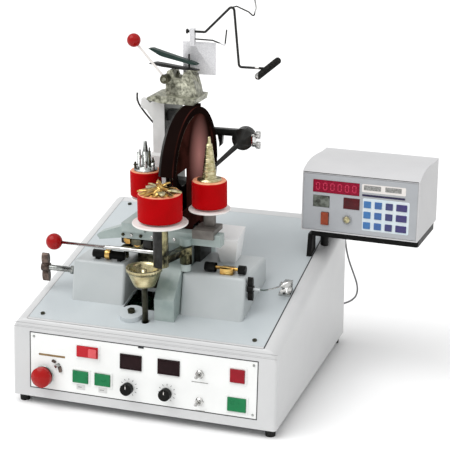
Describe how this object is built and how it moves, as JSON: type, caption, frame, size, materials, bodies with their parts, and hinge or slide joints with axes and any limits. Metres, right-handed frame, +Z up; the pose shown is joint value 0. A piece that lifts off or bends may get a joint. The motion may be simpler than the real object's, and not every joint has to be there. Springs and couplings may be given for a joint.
{
  "type": "toroidal coil winder",
  "caption": "Bench-top toroidal coil winder: sloped console with control panel, magazine ring in a guard, red drive rollers, clamp lever, wire guides and a counter box.",
  "frame": {"origin": "centre of the whole machine's base, on the bench, with the counter box and the cable behind", "axes": "+X to the operator's right, +Y to the back, +Z up"},
  "size_m": [0.7652, 0.605, 0.7982],
  "materials": {
    "console_paint": "satin powder coat",
    "pan_grey": "satin",
    "foot_rubber": "matte",
    "table_paint": "satin",
    "screw_steel": "satin",
    "panel_white": "satin",
    "switch_black": "matte",
    "motor_grey": "satin",
    "board_green": "matte",
    "housing_paint": "satin",
    "casting_green": "satin cast",
    "column_paint": "satin cast",
    "carriage_grey": "cast",
    "hood_black": "gloss",
    "frame_black": "satin",
    "shield_red": "gloss tinted",
    "magazine_dark": "anodised",
    "slider_steel": "satin",
    "drive_rubber": "matte",
    "guide_nylon": "matte",
    "roller_red": "matte",
    "hub_brass": "turned",
    "hub_steel": "turned",
    "lever_chrome": "bright",
    "ball_red": "gloss",
    "wing_steel": "dark",
    "knob_black": "matte",
    "blade_green": "satin",
    "wire_black": "satin",
    "plate_grey": "satin",
    "head_metal": "machined cast",
    "cover_white": "satin",
    "button_green": "gloss",
    "button_red": "gloss",
    "counter_paint": "satin powder coat",
    "face_pale": "membrane overlay",
    "rocker_orange": "gloss",
    "tray_black": "matte",
    "cable_grey": "matte"
  },
  "bodies": {
    "console": {"console_shell": "console_paint", "base_pan": "pan_grey", "rubber_feet": "foot_rubber", "table_plate": "table_paint", "cover_screws": "screw_steel", "control_panel": "panel_white", "panel_fittings": "switch_black", "roller_motor": "motor_grey", "electronics": "board_green", "rear_connectors": "switch_black", "left_housing": "housing_paint", "right_housing": "housing_paint", "pedestal": "casting_green", "column": "column_paint", "ring_hood": "hood_black", "ring_frame": "frame_black", "ring_shield": "shield_red", "ring_motor": "frame_black", "motor_cover": "cover_white", "adjusters": "hub_brass", "head_casting": "head_metal", "guide_plate": "plate_grey", "right_bracket": "frame_black", "side_lead": "lever_chrome", "counter_shell": "counter_paint", "counter_face": "face_pale", "counter_tray": "tray_black", "interconnect_cable": "cable_grey"},
    "magazine": {"magazine_ring": "magazine_dark"},
    "slider": {"slider_ring": "slider_steel"},
    "ring_drive": {"ring_drive_wheel": "drive_rubber"},
    "guide_front": {"guide_wheel_front": "guide_nylon"},
    "guide_rear": {"guide_wheel_rear": "guide_nylon"},
    "left_slide": {"left_carriage": "casting_green"},
    "left_roller_unit": {"left_roller": "roller_red", "left_hub": "hub_steel"},
    "clamp_arm": {"clamp_lever": "lever_chrome", "clamp_ball": "ball_red"},
    "front_roller_unit": {"front_roller": "roller_red", "front_hub": "hub_brass"},
    "right_slide": {"right_carriage": "carriage_grey"},
    "right_roller_unit": {"right_roller": "roller_red", "right_hub": "hub_brass"},
    "wing_nut": {"left_wing_nut": "wing_steel"},
    "right_hand_knob": {"right_knob": "knob_black"},
    "roller_drive": {"drive_cup": "hub_brass"},
    "head_lever": {"upper_lever": "ball_red"},
    "blade": {"guide_blade": "blade_green"},
    "dancer": {"wire_guide": "wire_black"},
    "stop_mushroom": {"stop_mushroom": "button_red"},
    "power_rocker": {"power_rocker": "button_red"},
    "start_button_left": {"start_button_left": "button_green"},
    "start_button_right": {"start_button_right": "button_green"},
    "stop_button": {"stop_button": "button_red"},
    "run_button": {"run_button": "button_green"},
    "speed_knob": {"speed_knob": "knob_black"},
    "tension_knob": {"tension_knob": "knob_black"},
    "toggle_upper": {"toggle_upper": "lever_chrome"},
    "toggle_lower": {"toggle_lower": "lever_chrome"},
    "counter_rocker": {"counter_rocker": "rocker_orange"}
  },
  "joints": [
    {"name": "magazine_spin", "type": "hinge", "parent": "console", "child": "magazine", "pos_m": [-0.07865, -0.04888, 0.457], "axis": [1, 0, 0], "continuous": true},
    {"name": "slider_spin", "type": "hinge", "parent": "console", "child": "slider", "pos_m": [-0.07865, -0.04888, 0.457], "axis": [1, 0, 0], "continuous": true},
    {"name": "ring_drive_spin", "type": "hinge", "parent": "console", "child": "ring_drive", "pos_m": [-0.07865, -0.04888, 0.3227], "axis": [1, 0, 0], "continuous": true},
    {"name": "guide_front_spin", "type": "hinge", "parent": "console", "child": "guide_front", "pos_m": [-0.07865, -0.10533, 0.52926], "axis": [1, 0, 0], "continuous": true},
    {"name": "guide_rear_spin", "type": "hinge", "parent": "console", "child": "guide_rear", "pos_m": [-0.07865, 0.02137, 0.51594], "axis": [1, 0, 0], "continuous": true},
    {"name": "clamp_swing", "type": "hinge", "parent": "console", "child": "clamp_arm", "pos_m": [-0.04465, -0.16388, 0.32], "axis": [0, 0, 1], "range_deg": [0, 40]},
    {"name": "front_roller_spin", "type": "hinge", "parent": "clamp_arm", "child": "front_roller_unit", "pos_m": [-0.06665, -0.24188, 0.411], "axis": [0, 0, 1], "continuous": true},
    {"name": "left_carriage_slide", "type": "slide", "parent": "console", "child": "left_slide", "axis": [1, 0, 0], "range_m": [-0.012, 0.01]},
    {"name": "left_roller_spin", "type": "hinge", "parent": "left_slide", "child": "left_roller_unit", "pos_m": [-0.15465, -0.09588, 0.411], "axis": [0, 0, 1], "continuous": true},
    {"name": "right_carriage_slide", "type": "slide", "parent": "console", "child": "right_slide", "axis": [1, 0, 0], "range_m": [-0.01, 0.012]},
    {"name": "right_roller_spin", "type": "hinge", "parent": "right_slide", "child": "right_roller_unit", "pos_m": [-0.00665, -0.12888, 0.411], "axis": [0, 0, 1], "continuous": true},
    {"name": "roller_drive_spin", "type": "hinge", "parent": "console", "child": "roller_drive", "pos_m": [-0.11065, -0.22188, 0.265], "axis": [0, 0, 1], "continuous": true},
    {"name": "wing_nut_turn", "type": "hinge", "parent": "console", "child": "wing_nut", "pos_m": [-0.36665, -0.15388, 0.253], "axis": [1, 0, 0], "continuous": true},
    {"name": "right_knob_turn", "type": "hinge", "parent": "console", "child": "right_hand_knob", "pos_m": [0.08735, -0.15588, 0.257], "axis": [1, 0, 0], "continuous": true},
    {"name": "upper_lever_swing", "type": "hinge", "parent": "console", "child": "head_lever", "pos_m": [-0.13665, -0.02488, 0.637], "axis": [0, 1, 0], "range_deg": [-20, 50]},
    {"name": "blade_turn", "type": "hinge", "parent": "console", "child": "blade", "pos_m": [-0.09665, 0.00612, 0.67], "axis": [0, 0, 1], "range_deg": [-20, 5]},
    {"name": "dancer_swing", "type": "hinge", "parent": "console", "child": "dancer", "pos_m": [-0.09565, 0.02612, 0.727], "axis": [1, 0, 0], "range_deg": [-30, 30]},
    {"name": "stop_mushroom_push", "type": "slide", "parent": "console", "child": "stop_mushroom", "axis": [0, 0.996, -0.0897], "range_m": [0, 0.006], "stiffness_N_per_m": 600, "springref_m": -0.002},
    {"name": "start_button_left_push", "type": "slide", "parent": "console", "child": "start_button_left", "axis": [0, 0.996, -0.0897], "range_m": [0, 0.003], "stiffness_N_per_m": 300, "springref_m": -0.002},
    {"name": "start_button_right_push", "type": "slide", "parent": "console", "child": "start_button_right", "axis": [0, 0.996, -0.0897], "range_m": [0, 0.003], "stiffness_N_per_m": 300, "springref_m": -0.002},
    {"name": "stop_button_push", "type": "slide", "parent": "console", "child": "stop_button", "axis": [0, 0.996, -0.0897], "range_m": [0, 0.003], "stiffness_N_per_m": 300, "springref_m": -0.002},
    {"name": "run_button_push", "type": "slide", "parent": "console", "child": "run_button", "axis": [0, 0.996, -0.0897], "range_m": [0, 0.003], "stiffness_N_per_m": 300, "springref_m": -0.002},
    {"name": "power_rocker_tilt", "type": "hinge", "parent": "console", "child": "power_rocker", "pos_m": [-0.21665, -0.26901, 0.12756], "axis": [1, 0, 0], "range_deg": [-8, 8]},
    {"name": "speed_knob_turn", "type": "hinge", "parent": "console", "child": "speed_knob", "pos_m": [-0.12765, -0.28652, 0.06688], "axis": [0, -0.996, 0.0897], "range_deg": [-150, 150]},
    {"name": "tension_knob_turn", "type": "hinge", "parent": "console", "child": "tension_knob", "pos_m": [-0.04665, -0.28652, 0.06688], "axis": [0, -0.996, 0.0897], "range_deg": [-150, 150]},
    {"name": "toggle_upper_tilt", "type": "hinge", "parent": "console", "child": "toggle_upper", "pos_m": [0.02135, -0.27027, 0.11361], "axis": [1, 0, 0], "range_deg": [-15, 15]},
    {"name": "toggle_lower_tilt", "type": "hinge", "parent": "console", "child": "toggle_lower", "pos_m": [0.02135, -0.27529, 0.05784], "axis": [1, 0, 0], "range_deg": [-15, 15]},
    {"name": "counter_rocker_tilt", "type": "hinge", "parent": "console", "child": "counter_rocker", "pos_m": [0.17737, 0.06507, 0.34496], "axis": [0.9986, -0.0523, 0], "range_deg": [-8, 8]}
  ],
  "couplings": [
    {"joint": "ring_drive_spin", "follows": "magazine_spin", "ratio": -7.375},
    {"joint": "guide_front_spin", "follows": "magazine_spin", "ratio": 8.6667},
    {"joint": "guide_rear_spin", "follows": "magazine_spin", "ratio": 8.6667},
    {"joint": "left_roller_spin", "follows": "front_roller_spin", "ratio": 1.3438},
    {"joint": "right_roller_spin", "follows": "front_roller_spin", "ratio": 1.2286},
    {"joint": "roller_drive_spin", "follows": "front_roller_spin", "ratio": 1}
  ]
}
